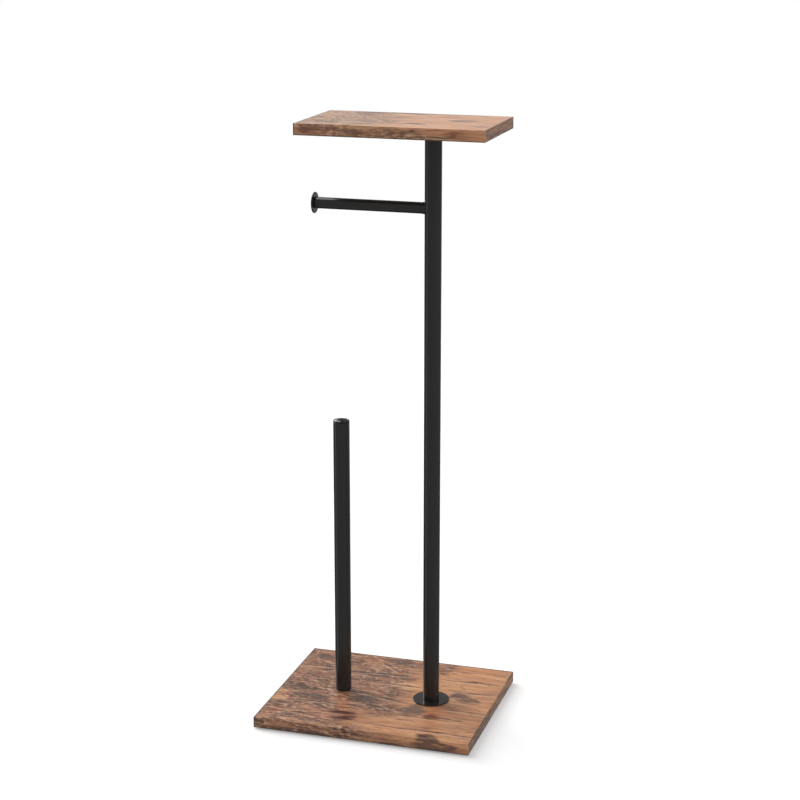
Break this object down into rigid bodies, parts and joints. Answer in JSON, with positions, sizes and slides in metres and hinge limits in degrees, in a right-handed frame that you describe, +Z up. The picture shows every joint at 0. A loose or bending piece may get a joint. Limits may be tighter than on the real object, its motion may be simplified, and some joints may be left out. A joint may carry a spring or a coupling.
{
  "type": "toilet paper holder with tray",
  "caption": "Free-standing toilet paper holder: wood-effect base board, tall black pole with a side roll arm and a top tray, and a short rod for spare rolls.",
  "frame": {"origin": "on the floor, under the middle of the base board", "axes": "+Z up, +X along the boards' long side towards the pole, +Y from the front to the back"},
  "size_m": [0.3, 0.25, 0.812],
  "materials": {
    "board_face": "matt printed rustic brown wood effect",
    "board_edge": "matt printed edge band, a little darker than the face",
    "powder_coat": "black powder coat, semi-gloss",
    "cap_plastic": "black, glossy",
    "foot_pad": "matt black anti-slip foam rubber",
    "fastener": "zinc plated"
  },
  "bodies": {
    "root": {"base_board": "board_face", "base_band_front": "board_edge", "base_band_back": "board_edge", "base_band_left": "board_edge", "base_band_right": "board_edge", "foot_pad_front_left": "foot_pad", "foot_pad_front_right": "foot_pad", "foot_pad_back_left": "foot_pad", "foot_pad_back_right": "foot_pad", "pole_flange": "powder_coat", "pole_tube": "powder_coat", "pole_foot_plug": "fastener", "pole_top_plug": "fastener", "pole_bolt": "fastener", "pole_washer": "fastener", "rod_tube": "powder_coat", "rod_foot_plug": "fastener", "rod_bolt": "fastener", "rod_washer": "fastener", "rod_cap": "cap_plastic", "arm_tube": "powder_coat", "arm_plug": "fastener", "arm_rivet_nut": "fastener", "arm_saddle": "powder_coat", "arm_stud": "fastener", "arm_end_disc": "powder_coat", "tray_board": "board_face", "tray_band_front": "board_edge", "tray_band_back": "board_edge", "tray_band_left": "board_edge", "tray_band_right": "board_edge", "tray_plate": "powder_coat", "plate_screw": "fastener", "tray_screw_1": "fastener", "tray_screw_2": "fastener", "tray_screw_3": "fastener", "tray_screw_4": "fastener"}
  },
  "joints": []
}
